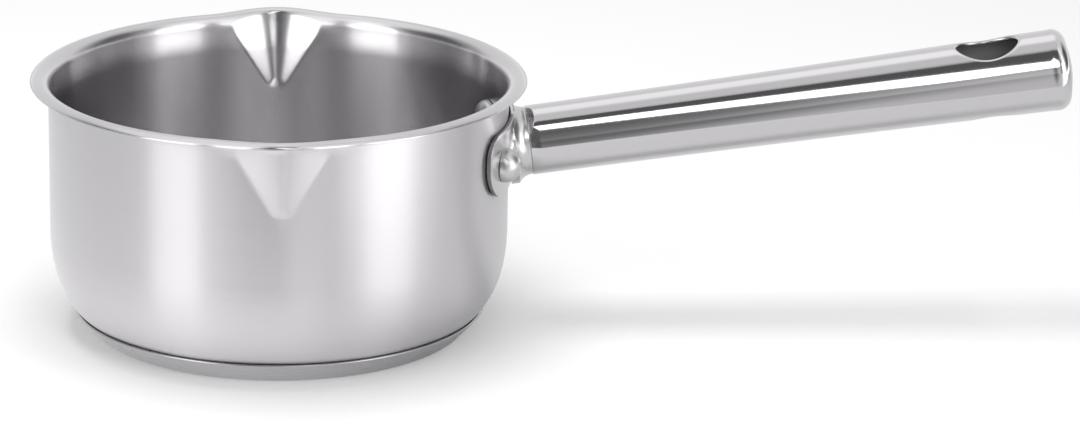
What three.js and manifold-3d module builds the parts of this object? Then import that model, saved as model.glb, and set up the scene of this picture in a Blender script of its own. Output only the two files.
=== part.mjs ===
// Saucepan with two pouring lips and a riveted tube handle
//
// Millimetres, +Z up. The origin is the centre of the base, on the surface that the pan stands on.
// The handle points along +X and the two pouring lips face +Y and -Y.
//
// A thin shell is drawn from one sheet and its rim is curled outward. An aluminium disc under the
// floor spreads the heat, and a pressed cap seals it. A saddle bracket follows the wall, two rivets
// hold it there, and its neck carries the hollow handle.

import * as THREE from 'three';
import * as BufferGeometryUtils from 'three/addons/utils/BufferGeometryUtils.js';
import Module from 'manifold-3d';

// Pan shell
const innerRadius = 80.4;
const wallThickness = 0.7;
const panHeight = 91.4;
const cornerWidth = 17.5;
const cornerHeight = 32.3;
const cornerExponent = 2.19;

// Curled rim
const rimCurlRadius = 3.9;
const rimCurlDegrees = 142;

// Pouring lips
const lipFaceDepth = 5.4;
const lipRimDepth = 4.2;
const lipRise = 0.7;
const lipLength = 24.5;
const lipTipRadius = 4;
const lipHalfAngleDegrees = 24;
const lipRimHalfWidth = 24;
const lipValleyAtTip = 0.8;
const lipValleyAtRim = 4.5;
const lipBorderSoftness = 0.6;

// Layered base
const discThickness = 4.3;
const capThickness = 0.7;
const capHeight = 7.6;
const capCornerRadius = 3;
const capSlantDegrees = 47;
const grooveWidth = 0.6;

// Saddle bracket and its neck
const bracketThickness = 1.5;
const bracketHalfLength = 41.6;
const bracketHeight = 23.2;
const bracketTopCorner = 8.5;
const bracketBottomCorner = 12;
const bracketWaist = 2.5;
const neckLength = 7.2;
const neckInset = 0.3;
const neckFilletRadius = 5.5;
const neckFlare = 2.6;
const spigotLength = 6;
const edgeBreak = 0.35;

// Rivets
const rivetShankRadius = 2.4;
const rivetFromBracketEnd = 13.4;
const rivetDrop = 0.9;
const rivetHeadRadius = 6;
const rivetHeadHeight = 5.8;
const rivetInnerHeadRadius = 8;
const rivetInnerHeadHeight = 4.4;

// Tube handle
const handleBelowRim = 24.7;
const handleLength = 195;
const handlePitchDegrees = 7.7;
const handleRollDegrees = 8;
const tubeRootRadius = 12.35;
const tubeEndRadius = 14.6;
const tubeWall = 0.9;
const tubeTaperExponent = 1.5;
const tubeRootEdge = 0.5;
const endCapLength = 9;
const endCapCorner = 4.6;
const endCapDome = 1.6;

// Hanging hole
const holeFromEnd = 29.5;
const holeHalfLength = 11;
const holeHalfWidth = 7.8;
const holeRollRadius = 1.2;

// Clearances and overruns
const seatGap = 0.3;
const cutOverrun = 4;

// Facet counts
const shellSegments = 80;
const baseSegments = 52;
const tubeSegments = 32;
const rivetSegments = 18;
const cornerSteps = 6;
const lipRows = 7;
const rimSteps = 5;

// Places worked out from the sizes above
const outerRadius = innerRadius + wallThickness;
const floorUnderside = capThickness + discThickness;
const cornerTop = floorUnderside + cornerHeight;
const rimCentreRadius = innerRadius + rimCurlRadius;
const rimCentreHeight = panHeight - rimCurlRadius;
const lipTip = rimCentreHeight - lipLength;
const lipHalfAngle = THREE.MathUtils.degToRad(lipHalfAngleDegrees);
const capSlant = THREE.MathUtils.degToRad(capSlantDegrees);
const handleStart = outerRadius + neckLength;
const handleHeight = panHeight - handleBelowRim;
const bracketInnerRadius = outerRadius + seatGap;
const bracketOuterRadius = bracketInnerRadius + bracketThickness;
const spigotRadius = tubeRootRadius - tubeWall - seatGap;
const rivetAzimuth = (bracketHalfLength - rivetFromBracketEnd) / bracketOuterRadius;
const rivetHeight = handleHeight - rivetDrop;
const handlePitch = THREE.MathUtils.degToRad(handlePitchDegrees);
const handleRoll = THREE.MathUtils.degToRad(handleRollDegrees);
const tubeLength = handleLength - endCapLength;
const holePlace = handleLength - holeFromEnd;

const { lerp, clamp, smoothstep } = THREE.MathUtils;

const wasm = await Module();
wasm.setup();

// Finishes
const brushedSteel = new THREE.MeshStandardMaterial({ color: 0xc9c9cc, roughness: 0.34, metalness: 1 });
const baseSteel = new THREE.MeshStandardMaterial({ color: 0xb4b4b6, roughness: 0.4, metalness: 1 });
const polishedSteel = new THREE.MeshStandardMaterial({ color: 0xd6d6d8, roughness: 0.12, metalness: 1 });
const aluminium = new THREE.MeshStandardMaterial({ color: 0xbcbec0, roughness: 0.55, metalness: 1 });

// Volume inside a closed triangle mesh, negative when its faces point inward.
function signedVolume(positions, triangles) {
  const corners = [new THREE.Vector3(), new THREE.Vector3(), new THREE.Vector3()];
  const normal = new THREE.Vector3();
  let volume = 0;
  for (let i = 0; i < triangles.length; i += 3) {
    corners.forEach((corner, k) => corner.fromArray(positions, 3 * triangles[i + k]));
    volume += corners[0].dot(normal.crossVectors(corners[1], corners[2])) / 6;
  }
  return volume;
}

// Turns a closed geometry into a solid that can be joined and cut.
function toSolid(geometry) {
  const bare = geometry.clone();
  bare.deleteAttribute('normal');
  bare.deleteAttribute('uv');
  const merged = BufferGeometryUtils.mergeVertices(bare);
  const positions = merged.attributes.position.array;
  const triangles = [];
  for (let i = 0; i < merged.index.count; i += 3) {
    const [a, b, c] = [0, 1, 2].map((k) => merged.index.getX(i + k));
    if (a !== b && b !== c && c !== a) triangles.push(a, b, c);
  }
  if (signedVolume(positions, triangles) < 0) triangles.reverse();
  return new wasm.Manifold(new wasm.Mesh({
    numProp: 3,
    vertProperties: new Float32Array(positions),
    triVerts: new Uint32Array(triangles),
  }));
}

// Turns a solid back into a geometry.
function toGeometry(solid) {
  const { vertProperties, triVerts } = solid.getMesh();
  const geometry = new THREE.BufferGeometry();
  geometry.setAttribute('position', new THREE.BufferAttribute(vertProperties, 3));
  geometry.setIndex(new THREE.BufferAttribute(triVerts, 1));
  geometry.computeVertexNormals();
  return geometry;
}

// Spins a profile of [radius, height] points about +Z.
function revolve(profile, segments) {
  const points = profile.map(([radius, height]) => new THREE.Vector2(radius, height));
  return new THREE.LatheGeometry(points, segments).rotateX(Math.PI / 2);
}

// Spins a profile of [radius, distance] points about +X.
function revolveAlongX(profile, segments) {
  return revolve(profile, segments).rotateY(Math.PI / 2);
}

// Skins a row of rings that all have as many points. An open row is closed by a cap at each end.
function loft(rings, closed = false) {
  const size = rings[0].length;
  const positions = rings.flat().flatMap((point) => point.toArray());
  const index = [];
  const bands = closed ? rings.length : rings.length - 1;
  for (let i = 0; i < bands; i += 1) {
    const here = i * size;
    const next = ((i + 1) % rings.length) * size;
    for (let k = 0; k < size; k += 1) {
      const across = (k + 1) % size;
      index.push(here + k, here + across, next + k, next + k, here + across, next + across);
    }
  }
  if (!closed) {
    const last = (rings.length - 1) * size;
    for (let k = 1; k < size - 1; k += 1) {
      index.push(0, k + 1, k, last, last + k, last + k + 1);
    }
  }
  const geometry = new THREE.BufferGeometry();
  geometry.setAttribute('position', new THREE.Float32BufferAttribute(positions, 3));
  geometry.setIndex(index);
  return geometry;
}

// A round bar about +Z that trims pieces to the pan wall.
function wallBar(radius) {
  const low = -cutOverrun;
  const high = panHeight + cutOverrun;
  return toSolid(revolve([[0, low], [radius, low], [radius, high], [0, high]], shellSegments));
}

// A round bar along the axis of a rivet, at azimuth zero.
function rivetBar(radius, from, to) {
  const bar = revolveAlongX([[0, from], [radius, from], [radius, to], [0, to]], rivetSegments);
  return bar.translate(0, 0, rivetHeight);
}

// Cuts both rivet holes through a solid.
function cutRivetHoles(solid) {
  const radius = rivetShankRadius + seatGap;
  const [from, to] = [innerRadius - cutOverrun, bracketOuterRadius + cutOverrun];
  return [-rivetAzimuth, rivetAzimuth].reduce(
    (rest, azimuth) => rest.subtract(toSolid(rivetBar(radius, from, to).rotateZ(azimuth))),
    solid,
  );
}

// Point on the rounded corner between floor and wall, and the same point moved inward by a wall.
// turn runs from 0 at the floor to 1 at the wall.
function cornerPoint(turn, inward) {
  const angle = turn * Math.PI / 2;
  const across = Math.sin(angle) ** (2 / cornerExponent);
  const down = Math.cos(angle) ** (2 / cornerExponent);
  const normal = new THREE.Vector2(
    across ** (cornerExponent - 1) / cornerWidth,
    -(down ** (cornerExponent - 1)) / cornerHeight,
  ).normalize();
  const radius = outerRadius - cornerWidth + cornerWidth * across;
  const height = cornerTop - cornerHeight * down;
  return [radius - inward * normal.x, height - inward * normal.y];
}

// Point on the curled rim. turn runs from 0 at the wall to 1 at the cut edge.
function rimPoint(turn, radius) {
  const angle = Math.PI - turn * THREE.MathUtils.degToRad(rimCurlDegrees);
  return [rimCentreRadius + radius * Math.cos(angle), rimCentreHeight + radius * Math.sin(angle)];
}

// One side of the drawn shell from the floor's middle to the edge of the rim.
function shellSide(inward) {
  const steps = (count) => Array.from({ length: count + 1 }, (_, i) => i / count);
  const wallRadius = outerRadius - inward;
  const belowLip = (cornerTop + lipTip) / 2;
  return [
    [0, floorUnderside + inward],
    ...steps(cornerSteps).map((turn) => cornerPoint(turn, inward)),
    [wallRadius, belowLip],
    ...steps(lipRows).map((share) => [wallRadius, lipTip + share * lipLength]),
    ...steps(rimSteps).slice(1).map((turn) => rimPoint(turn, rimCurlRadius - wallThickness + inward)),
  ];
}

// Distance inside the V outline of a pouring lip, square to its border. The V has straight sides
// and a round tip, and its two faces meet in a rounded valley that widens toward the rim.
function insideLip(across, height) {
  const above = height - lipTip;
  const valley = lerp(lipValleyAtTip, lipValleyAtRim, clamp(above / lipLength, 0, 1));
  const side = Math.hypot(across, valley) - valley;
  const fromTip = above - lipTipRadius;
  const along = side * Math.sin(lipHalfAngle) + fromTip * Math.cos(lipHalfAngle);
  if (along < 0) return lipTipRadius - Math.hypot(side, fromTip);
  return lipTipRadius - side * Math.cos(lipHalfAngle) + fromTip * Math.sin(lipHalfAngle);
}

// How far a pouring lip pushes a point of the shell outward and upward. The whole rim follows in a
// smooth bulge, and two flat faces lean out of the wall until they meet the curl of the rim. curl
// is how far the curl has already carried the point outward.
function lipShift(across, curl, height) {
  const slope = lipFaceDepth / (lipTipRadius + (lipLength - lipTipRadius) * Math.sin(lipHalfAngle));
  const face = slope * Math.max(insideLip(across, height), 0);
  const bulge = Math.abs(across) < lipRimHalfWidth
    ? (1 + Math.cos(Math.PI * across / lipRimHalfWidth)) / 2 : 0;
  const rim = smoothstep(height, rimCentreHeight - rimCurlRadius, rimCentreHeight + rimCurlRadius);
  const rimPush = lipRimDepth * bulge * rim;
  const proud = Math.max(face - curl - rimPush, 0);
  return [rimPush + proud ** 2 / (proud + lipBorderSoftness), lipRise * bulge * rim];
}

// The drawn shell: a revolve with its facets gathered at the two lips, which are then pushed out.
function panBody() {
  const gatherShare = 0.7;
  const outside = shellSide(0);
  const profile = [...outside, ...shellSide(wallThickness).reverse()];
  const geometry = revolve(profile, shellSegments);
  const place = geometry.attributes.position;
  for (let i = 0; i < place.count; i += 1) {
    const wallRadius = i % profile.length < outside.length ? outerRadius : innerRadius;
    const radius = Math.hypot(place.getX(i), place.getY(i));
    const curl = Math.max(radius - wallRadius, 0);
    const even = Math.atan2(place.getY(i), place.getX(i));
    const azimuth = even + gatherShare * Math.sin(2 * even) / 2;
    const nearest = azimuth > 0 ? Math.PI / 2 : -Math.PI / 2;
    const [out, up] = lipShift(outerRadius * (azimuth - nearest), curl, place.getZ(i));
    const reach = radius + out;
    place.setXYZ(i, reach * Math.cos(azimuth), reach * Math.sin(azimuth), place.getZ(i) + up);
  }
  return toGeometry(cutRivetHoles(toSolid(geometry)));
}

// Outer radius of the shell's rounded corner at a height.
function cornerRadiusAt(height) {
  const down = (cornerTop - height) / cornerHeight;
  return outerRadius - cornerWidth + cornerWidth * (1 - down ** cornerExponent) ** (1 / cornerExponent);
}

// Radius of the flat underside of the base, inside its rounded edge.
function baseFlatRadius() {
  const rimTop = capHeight + capThickness * Math.cos(capSlant);
  const rimRadius = cornerRadiusAt(rimTop) + grooveWidth + capThickness * Math.sin(capSlant);
  const roundRise = capCornerRadius * (1 - Math.cos(capSlant));
  const slantRun = (capHeight - roundRise) / Math.tan(capSlant);
  return rimRadius - slantRun - capCornerRadius * Math.sin(capSlant);
}

// Side of the base cap at a distance inside its outer face: a round off the flat underside, then
// a straight slant up to a height.
function capSide(inward, top) {
  const steps = 3;
  const centre = baseFlatRadius();
  const radius = capCornerRadius - inward;
  const round = Array.from({ length: steps + 1 }, (_, i) => {
    const angle = (i / steps) * capSlant;
    return [centre + radius * Math.sin(angle), capCornerRadius - radius * Math.cos(angle)];
  });
  const [foot, height] = round[steps];
  return [...round, [foot + (top - height) / Math.tan(capSlant), top]];
}

// The pressed cap under the base. Its rim stops short of the shell and leaves the round groove.
function baseCap() {
  const profile = [
    [0, 0],
    ...capSide(0, capHeight),
    ...capSide(capThickness, capHeight + capThickness * Math.cos(capSlant)).reverse(),
    [0, capThickness],
  ];
  return toGeometry(toSolid(revolve(profile, baseSegments)));
}

// The aluminium disc between the floor and the cap. Its edge follows the side of the cap.
function heatDisc() {
  const edge = capSide(capThickness + seatGap, floorUnderside).slice(1);
  const profile = [[0, capThickness], [baseFlatRadius(), capThickness], ...edge, [0, floorUnderside]];
  return toGeometry(toSolid(revolve(profile, baseSegments)));
}

// Height of the bracket's upper or lower edge at a place along its curved length.
function bracketEdgeHeight(along, upper) {
  const corner = upper ? bracketTopCorner : bracketBottomCorner;
  const past = Math.max(Math.abs(along) - (bracketHalfLength - corner), 0);
  const drop = corner - Math.sqrt(Math.max(corner ** 2 - past ** 2, 0));
  if (upper) return handleHeight + bracketHeight / 2 - drop;
  const lobe = bracketHalfLength - bracketBottomCorner;
  const waist = bracketWaist * (1 + Math.cos(Math.PI * clamp(Math.abs(along) / lobe, 0, 1))) / 2;
  return handleHeight - bracketHeight / 2 + drop + waist;
}

// The saddle plate: upright sections carried round the wall, with softened edges.
function saddlePlate() {
  const stations = 26;
  const [inner, outer, edge] = [bracketInnerRadius, bracketOuterRadius, edgeBreak];
  const rings = Array.from({ length: stations + 1 }, (_, i) => {
    const along = bracketHalfLength * Math.sin((2 * i / stations - 1) * Math.PI / 2);
    const azimuth = along / bracketOuterRadius;
    const [low, high] = [bracketEdgeHeight(along, false), bracketEdgeHeight(along, true)];
    const section = [[inner, low + edge], [inner + edge, low], [outer - edge, low],
      [outer, low + edge], [outer, high - edge], [outer - edge, high],
      [inner + edge, high], [inner, high - edge]];
    return section.map(([radius, height]) => new THREE.Vector3(
      radius * Math.cos(azimuth),
      radius * Math.sin(azimuth),
      height,
    ));
  });
  return toSolid(loft(rings));
}

// Where the handle's own frame lies: its axis is +X and it starts at the neck.
function handleFrame() {
  const frame = new THREE.Matrix4().makeTranslation(handleStart, 0, handleHeight);
  frame.multiply(new THREE.Matrix4().makeRotationY(-handlePitch));
  return frame.multiply(new THREE.Matrix4().makeRotationX(handleRoll));
}

// The neck: a round spigot that the tube slides over up to a shoulder, then a fillet that flares
// from nearly the tube's own width to a wide foot.
function neck() {
  const steps = 5;
  const shoulder = -seatGap;
  const neckRadius = tubeRootRadius - neckInset;
  const sweep = Math.acos(1 - neckFlare / neckFilletRadius);
  const fillet = Array.from({ length: steps + 1 }, (_, i) => {
    const angle = sweep * (1 - i / steps);
    return [
      neckRadius + neckFilletRadius * (1 - Math.cos(angle)),
      shoulder - neckFilletRadius * Math.sin(angle),
    ];
  });
  const back = innerRadius - handleStart;
  const profile = [[0, back], [neckRadius + neckFlare, back], ...fillet, [spigotRadius, shoulder],
    [spigotRadius, spigotLength - edgeBreak], [spigotRadius - edgeBreak, spigotLength],
    [0, spigotLength]];
  return toSolid(revolveAlongX(profile, tubeSegments).applyMatrix4(handleFrame()));
}

// The bracket: saddle plate and neck in one piece, trimmed to the wall and drilled for the rivets.
function handleBracket() {
  const solid = saddlePlate().add(neck()).subtract(wallBar(bracketInnerRadius));
  return toGeometry(cutRivetHoles(solid));
}

// Points of a quarter round head from its rim to its crown, bulging along the rivet's axis.
function headProfile(radius, seat, height) {
  const steps = 5;
  return Array.from({ length: steps + 1 }, (_, i) => {
    const angle = (i / steps) * Math.PI / 2;
    return [i === steps ? 0 : radius * Math.cos(angle), seat + height * Math.sin(angle)];
  });
}

// A rivet at azimuth zero. Both heads follow the curve of the wall that they clamp.
function rivet() {
  const outerSeat = bracketOuterRadius + seatGap;
  const innerSeat = innerRadius - seatGap;
  const outerHead = [[0, innerRadius], [rivetHeadRadius, innerRadius],
    ...headProfile(rivetHeadRadius, outerSeat, rivetHeadHeight)];
  const innerHead = [[0, innerRadius], [rivetInnerHeadRadius, innerRadius],
    ...headProfile(rivetInnerHeadRadius, innerSeat - wallThickness, wallThickness - rivetInnerHeadHeight)];
  const head = (profile) => toSolid(revolveAlongX(profile, rivetSegments).translate(0, 0, rivetHeight));
  const outside = head(outerHead).subtract(wallBar(outerSeat));
  const inside = head(innerHead).intersect(wallBar(innerSeat));
  const shank = toSolid(rivetBar(rivetShankRadius, innerSeat - wallThickness, outerSeat + wallThickness));
  return toGeometry(shank.add(outside).add(inside));
}

// Outer radius of the handle at a distance along it. It widens slowly, and most near its end.
function handleRadius(along) {
  return lerp(tubeRootRadius, tubeEndRadius, (along / handleLength) ** tubeTaperExponent);
}

// Half of the tube wall's section, from the root to the seam with the end cap.
function tubeSide(inward) {
  const steps = 6;
  return Array.from({ length: steps + 1 }, (_, i) => {
    const along = lerp(tubeRootEdge, tubeLength, i / steps);
    return [handleRadius(along) - inward, along];
  });
}

// The rolled edge of the hanging hole: a strip that bends from the tube's surface into the hole.
function holeRoll() {
  const [stations, bends] = [24, 3];
  const centreRadius = handleRadius(holePlace);
  const rings = Array.from({ length: stations }, (_, i) => {
    const turn = 2 * Math.PI * i / stations;
    const normal = new THREE.Vector2(
      holeHalfWidth * Math.cos(turn),
      holeHalfLength * Math.sin(turn),
    ).normalize();
    const place = (radius, bend) => {
      const outward = holeRollRadius - radius * Math.sin(bend);
      const x = holeHalfLength * Math.cos(turn) + outward * normal.x;
      const y = holeHalfWidth * Math.sin(turn) + outward * normal.y;
      const centre = centreRadius - holeRollRadius;
      return new THREE.Vector3(holePlace + x, y, Math.sqrt(centre ** 2 - y ** 2) + radius * Math.cos(bend));
    };
    const sweep = Array.from({ length: bends + 1 }, (_, k) => (k / bends) * Math.PI / 2);
    const top = sweep.map((bend) => place(holeRollRadius, bend));
    const under = sweep.map((bend) => place(holeRollRadius - tubeWall, bend)).reverse();
    return [...top, ...under];
  });
  return loft(rings, true);
}

// The hollow tube, open at both ends, with the oval hanging hole through its top and bottom.
function handleTube() {
  const rootEdge = [[tubeRootRadius - tubeWall, 0], [tubeRootRadius - tubeRootEdge, 0]];
  const profile = [...rootEdge, ...tubeSide(0), ...tubeSide(tubeWall).reverse(), rootEdge[0]];
  const outline = new THREE.Shape();
  const opening = holeRollRadius;
  outline.absellipse(0, 0, holeHalfLength + opening, holeHalfWidth + opening, 0, 2 * Math.PI);
  const depth = 2 * (tubeEndRadius + cutOverrun);
  const punch = new THREE.ExtrudeGeometry(outline, { depth, bevelEnabled: false, curveSegments: 12 })
    .translate(holePlace, 0, -depth / 2);
  const roll = holeRoll();
  const lowerRoll = roll.clone().translate(-holePlace, 0, 0).rotateX(Math.PI).translate(holePlace, 0, 0);
  return toGeometry(toSolid(revolveAlongX(profile, tubeSegments))
    .subtract(toSolid(punch)).add(toSolid(roll)).add(toSolid(lowerRoll)));
}

// The domed end cap with a short collar that fits inside the tube.
function handleEndCap() {
  const steps = 4;
  const seam = tubeLength + seatGap;
  const cornerCentre = handleLength - endCapDome - endCapCorner;
  const collarRadius = handleRadius(tubeLength) - tubeWall - seatGap;
  const flat = tubeEndRadius - endCapCorner;
  const corner = (inward) => Array.from({ length: steps + 1 }, (_, i) => {
    const angle = (i / steps) * Math.PI / 2;
    const radius = endCapCorner - inward;
    return [flat + radius * Math.cos(angle), cornerCentre + radius * Math.sin(angle)];
  });
  const dome = (inward) => {
    const midShare = 0.5;
    const rise = endCapDome - inward;
    return [[flat * midShare, cornerCentre + endCapCorner + rise - endCapDome * midShare ** 2],
      [0, cornerCentre + endCapCorner + rise]];
  };
  const inner = collarRadius - tubeWall;
  const profile = [[collarRadius, seam], [handleRadius(tubeLength), seam], ...corner(0), ...dome(0),
    ...dome(tubeWall).reverse(), ...corner(tubeWall).reverse(),
    [inner, seam], [inner, seam - endCapCorner], [collarRadius, seam - endCapCorner],
    [collarRadius, seam]];
  return toGeometry(toSolid(revolveAlongX(profile, tubeSegments)));
}

function named(name, geometry, material) {
  const mesh = new THREE.Mesh(geometry, material);
  mesh.name = name;
  return mesh;
}

const saucepan = new THREE.Group();
saucepan.add(named('pan_body', panBody(), brushedSteel));
saucepan.add(named('heat_disc', heatDisc(), aluminium));
saucepan.add(named('base_cap', baseCap(), baseSteel));
saucepan.add(named('handle_bracket', handleBracket(), polishedSteel));

for (const [name, azimuth] of [['rivet_front', -rivetAzimuth], ['rivet_back', rivetAzimuth]]) {
  const mesh = named(name, rivet(), polishedSteel);
  mesh.rotation.z = azimuth;
  saucepan.add(mesh);
}

const handle = new THREE.Group();
handle.applyMatrix4(handleFrame());
handle.add(named('handle_tube', handleTube(), polishedSteel));
handle.add(named('handle_end_cap', handleEndCap(), polishedSteel));
saucepan.add(handle);

export default saucepan;
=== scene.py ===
# %% [markdown]
# # A steel saucepan with two pouring lips and a tube handle
#
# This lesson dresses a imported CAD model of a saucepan. The CAD solids are exact but faceted, so
# every steel piece is made again here with a finer mesh on the same sizes, and gets a procedural
# steel finish. All sizes of the pan are written in millimetres, as on the CAD drawing, and turned
# into Blender's metres when a mesh is made. The studio around it is written in metres.

import math

import bmesh
import bpy
from mathutils import Matrix, Vector


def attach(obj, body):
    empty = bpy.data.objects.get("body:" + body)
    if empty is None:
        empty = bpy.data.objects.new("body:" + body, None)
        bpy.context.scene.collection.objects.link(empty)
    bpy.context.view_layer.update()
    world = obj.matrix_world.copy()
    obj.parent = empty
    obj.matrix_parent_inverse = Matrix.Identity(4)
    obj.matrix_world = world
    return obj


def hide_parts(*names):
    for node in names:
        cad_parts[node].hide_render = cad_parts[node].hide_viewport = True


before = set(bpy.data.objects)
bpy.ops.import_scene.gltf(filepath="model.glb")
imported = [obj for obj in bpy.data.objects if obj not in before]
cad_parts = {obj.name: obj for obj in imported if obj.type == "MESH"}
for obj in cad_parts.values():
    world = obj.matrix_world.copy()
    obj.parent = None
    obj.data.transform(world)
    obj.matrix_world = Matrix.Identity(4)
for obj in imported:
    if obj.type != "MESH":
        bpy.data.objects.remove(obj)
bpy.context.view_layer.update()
print("CAD nodes:", ", ".join(sorted(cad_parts)))

# %% [markdown]
# ## From profile to mesh
#
# Most pieces of a pan are spun or drawn, so they are round about one axis. Such a piece can be
# made with a Screw modifier or with rings of points in code. Rings are used here, because each
# ring can also follow an outline that isn't round, such as the edge of the handle's hanging hole.

# %% A mesh from points and faces
MM = 0.001
collection = bpy.context.scene.collection


def add_piece(name, points, faces, material=None):
    """Makes a smooth-shaded piece from points in millimetres."""
    mesh = bpy.data.meshes.new(name)
    mesh.from_pydata([Vector(point) * MM for point in points], [], faces)
    mesh.update()
    mesh.shade_smooth()
    piece = bpy.data.objects.new(name, mesh)
    collection.objects.link(piece)
    if material:
        mesh.materials.append(material)
    return piece


# %% A profile spun about the pan's axis
def even_turns(count):
    """Azimuths of evenly spaced facets."""
    return [2 * math.pi * step / count for step in range(count)]


def spin(profile, azimuths):
    """Spins [radius, height] points about Z. A point on the axis becomes a single pole."""
    points, faces, rows = [], [], []
    for radius, height in profile:
        rows.append(len(points))
        if radius == 0:
            points.append((0, 0, height))
            continue
        points.extend((radius * math.cos(a), radius * math.sin(a), height) for a in azimuths)
    count = len(azimuths)
    for row, (lower, upper) in enumerate(zip(profile, profile[1:])):
        for step in range(count):
            after = (step + 1) % count
            a, b = rows[row] + step, rows[row] + after
            c, d = rows[row + 1] + after, rows[row + 1] + step
            if lower[0] == 0:
                faces.append((rows[row], c, d))
            elif upper[0] == 0:
                faces.append((a, b, rows[row + 1]))
            else:
                faces.append((a, b, c, d))
    return points, faces


# %% [markdown]
# ## The drawn shell
#
# The pan's body is one steel sheet, drawn into a deep cup. Its corner is a superellipse, the wall
# is straight, and the edge curls outward so that it pours cleanly and doesn't cut. A single skin
# with a Solidify modifier would also do, but here the profile is followed once outside and once
# inside, 0.7 mm apart, so that both sides lie exactly where the CAD drawing has them.

# %% Sizes of the shell
inner_radius = 80.4
wall_thickness = 0.7
pan_height = 91.4
corner_width = 17.5
corner_height = 32.3
corner_exponent = 2.19
rim_curl_radius = 3.9
rim_curl = math.radians(142)
floor_underside = 5.0
lip_length = 24.5

outer_radius = inner_radius + wall_thickness
corner_top = floor_underside + corner_height
rim_centre_radius = inner_radius + rim_curl_radius
rim_centre_height = pan_height - rim_curl_radius
lip_foot = rim_centre_height - lip_length
print("the wall is straight from", corner_top, "to", rim_centre_height, "mm")


# %% Points of the corner and the rim
def corner_point(turn, inward):
    """Point on the rounded corner, from the floor at turn 0 to the wall at turn 1."""
    angle = turn * math.pi / 2
    across = math.sin(angle) ** (2 / corner_exponent)
    down = math.cos(angle) ** (2 / corner_exponent) if turn < 1 else 0
    normal = Vector((
        across ** (corner_exponent - 1) / corner_width,
        -(down ** (corner_exponent - 1)) / corner_height,
    )).normalized()
    radius = outer_radius - corner_width + corner_width * across
    return radius - inward * normal.x, corner_top - corner_height * down - inward * normal.y


def rim_point(turn, radius):
    """Point on the curled rim, from the wall at turn 0 to the cut edge at turn 1."""
    angle = math.pi - turn * rim_curl
    return (
        rim_centre_radius + radius * math.cos(angle),
        rim_centre_height + radius * math.sin(angle),
    )


# %% Profile of the shell
corner_steps = 26
plain_wall_steps = 4
lip_wall_steps = 52
curl_steps = 20


def shell_side(inward):
    """One side of the sheet from the middle of the floor to the edge of the rim."""
    wall = outer_radius - inward
    floor = floor_underside + inward
    side = [(0, floor), (corner_point(0, inward)[0] / 2, floor)]
    side += [corner_point(step / corner_steps, inward) for step in range(corner_steps + 1)]
    side += [(wall, corner_top + (lip_foot - corner_top) * step / plain_wall_steps)
             for step in range(1, plain_wall_steps)]
    side += [(wall, lip_foot + lip_length * step / lip_wall_steps) for step in range(lip_wall_steps + 1)]
    curl = rim_curl_radius - wall_thickness + inward
    return side + [rim_point(step / curl_steps, curl) for step in range(1, curl_steps + 1)]


shell_profile = shell_side(0) + shell_side(wall_thickness)[::-1]
print("the shell's profile has", len(shell_profile), "points")

# %% [markdown]
# ## Two pouring lips pressed into the wall
#
# A V-shaped tool presses each lip outward before the pan is polished: two flat faces meet in a
# soft valley, the tip is round, and the stiff curled rim follows in a smooth bulge. The lips could
# be sculpted or cut with a boolean. But this is a rule about where a point lies, so it is written
# as a Geometry Nodes tree that moves the points of the spun shell. Each size is a named input, so
# another lip can be tried without touching the mesh.


# %% Short words for a node tree
class Tree:
    """A node tree that is written as plain sums."""

    def __init__(self, tree):
        self.tree = tree

    def add(self, kind, **settings):
        """A new node with its settings."""
        node = self.tree.nodes.new(kind)
        for name, value in settings.items():
            setattr(node, name, value)
        return node

    def feed(self, socket, value):
        """Links a socket, or gives it a constant."""
        if isinstance(value, bpy.types.NodeSocket):
            self.tree.links.new(value, socket)
        else:
            socket.default_value = value

    def sum(self, operation, *values):
        """One step of arithmetic."""
        node = self.add("ShaderNodeMath", operation=operation)
        for socket, value in zip(node.inputs, values):
            self.feed(socket, value)
        return node.outputs[0]

    def length(self, first, second):
        """Distance over two steps at a right angle."""
        squares = self.sum("POWER", first, 2.0), self.sum("POWER", second, 2.0)
        return self.sum("SQRT", self.sum("ADD", *squares))

    def parts(self, vector):
        """The X, Y and Z of a vector."""
        node = self.add("ShaderNodeSeparateXYZ")
        self.feed(node.inputs[0], vector)
        return node.outputs

    def remap(self, value, low, high, start=0.0, stop=1.0):
        """Takes a value from one range to another, without overshoot."""
        node = self.add("ShaderNodeMapRange", interpolation_type="SMOOTHSTEP")
        for label, entry in (("Value", value), ("From Min", low), ("From Max", high),
                             ("To Min", start), ("To Max", stop)):
            self.feed(node.inputs[label], entry)
        return node.outputs["Result"]


# %% A geometry tree with named inputs
def named_tree(name, sizes):
    """A geometry tree with one float input for each named size."""
    tree = bpy.data.node_groups.new(name, "GeometryNodeTree")
    tree.interface.new_socket("Geometry", in_out="INPUT", socket_type="NodeSocketGeometry")
    for label in sizes:
        tree.interface.new_socket(label, in_out="INPUT", socket_type="NodeSocketFloat")
    tree.interface.new_socket("Material", in_out="INPUT", socket_type="NodeSocketMaterial")
    tree.interface.new_socket("Geometry", in_out="OUTPUT", socket_type="NodeSocketGeometry")
    nodes = Tree(tree)
    entry = nodes.add("NodeGroupInput")
    return nodes, entry


def close_tree(nodes, entry, geometry):
    """Ends a tree with Realize Instances and Set Material."""
    realize = nodes.add("GeometryNodeRealizeInstances")
    finish = nodes.add("GeometryNodeSetMaterial")
    leave = nodes.add("NodeGroupOutput")
    nodes.feed(realize.inputs["Geometry"], geometry)
    nodes.feed(finish.inputs["Geometry"], realize.outputs["Geometry"])
    nodes.feed(finish.inputs["Material"], entry.outputs["Material"])
    nodes.feed(leave.inputs["Geometry"], finish.outputs["Geometry"])


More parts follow.
